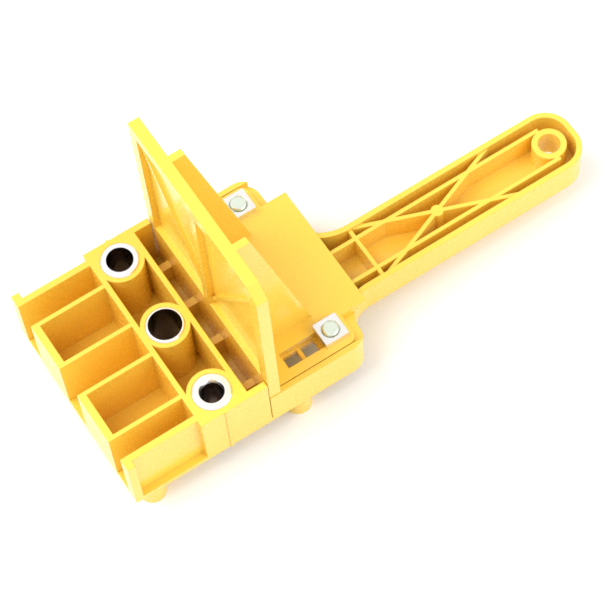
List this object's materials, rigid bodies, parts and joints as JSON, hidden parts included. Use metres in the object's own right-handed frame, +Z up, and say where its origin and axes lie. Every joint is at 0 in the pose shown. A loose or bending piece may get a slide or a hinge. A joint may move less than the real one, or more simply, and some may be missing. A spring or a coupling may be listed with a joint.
{
  "type": "drill guide",
  "caption": "Handheld dowelling drill guide: moulded plastic head with steel drill sleeves, ribbed handle and a sliding fence.",
  "frame": {"origin": "on the middle drill sleeve's axis, at the underside of the head", "axes": "+X along the handle to its free end, +Y across the head, +Z up the sleeves"},
  "size_m": [0.1763, 0.0688, 0.088],
  "materials": {
    "plastic": "glossy yellow moulding",
    "sleeve_steel": "ground and polished",
    "fastener_steel": "zinc plated"
  },
  "bodies": {
    "guide": {"body": "plastic", "sleeve_8": "sleeve_steel", "sleeve_10": "sleeve_steel", "sleeve_6": "sleeve_steel", "screw_far": "fastener_steel", "screw_near": "fastener_steel", "nut_far": "fastener_steel", "nut_near": "fastener_steel"},
    "fence": {"fence": "plastic"}
  },
  "joints": [
    {"name": "fence_slide", "type": "slide", "parent": "guide", "child": "fence", "axis": [1, 0, 0], "range_m": [0, 0.014]}
  ]
}
